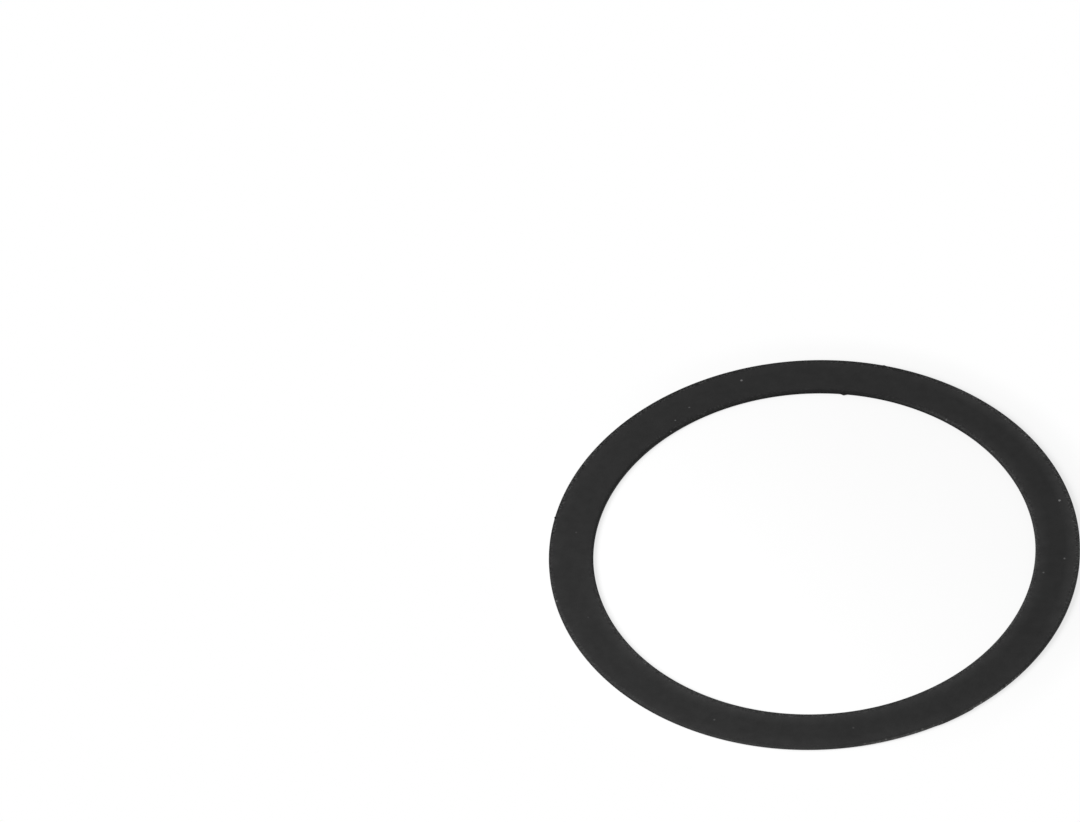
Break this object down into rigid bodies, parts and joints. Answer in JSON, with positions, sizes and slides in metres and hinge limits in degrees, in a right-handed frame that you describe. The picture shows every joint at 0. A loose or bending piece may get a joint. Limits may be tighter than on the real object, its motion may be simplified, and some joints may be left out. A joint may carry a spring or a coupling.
{
  "type": "magnetic phone mount plate",
  "caption": "Thin flat steel ring, coated matte black, with sticky tape on its back, which gives a phone a place for a magnetic holder or charger to grip.",
  "frame": {"origin": "centre of the ring, on the sticky underside of the tape, where it meets the back of the phone", "axes": "+Z along the ring's axis, out of the black face that the magnet grips; the ring is round, so X and Y are free"},
  "size_m": [0.056, 0.056, 0.0005],
  "materials": {
    "black_coated_steel": "matte soft-touch black coat over mild steel",
    "black_tape": "satin, tacky acrylic adhesive"
  },
  "bodies": {
    "root": {"steel_ring": "black_coated_steel", "adhesive_ring": "black_tape"}
  },
  "joints": []
}
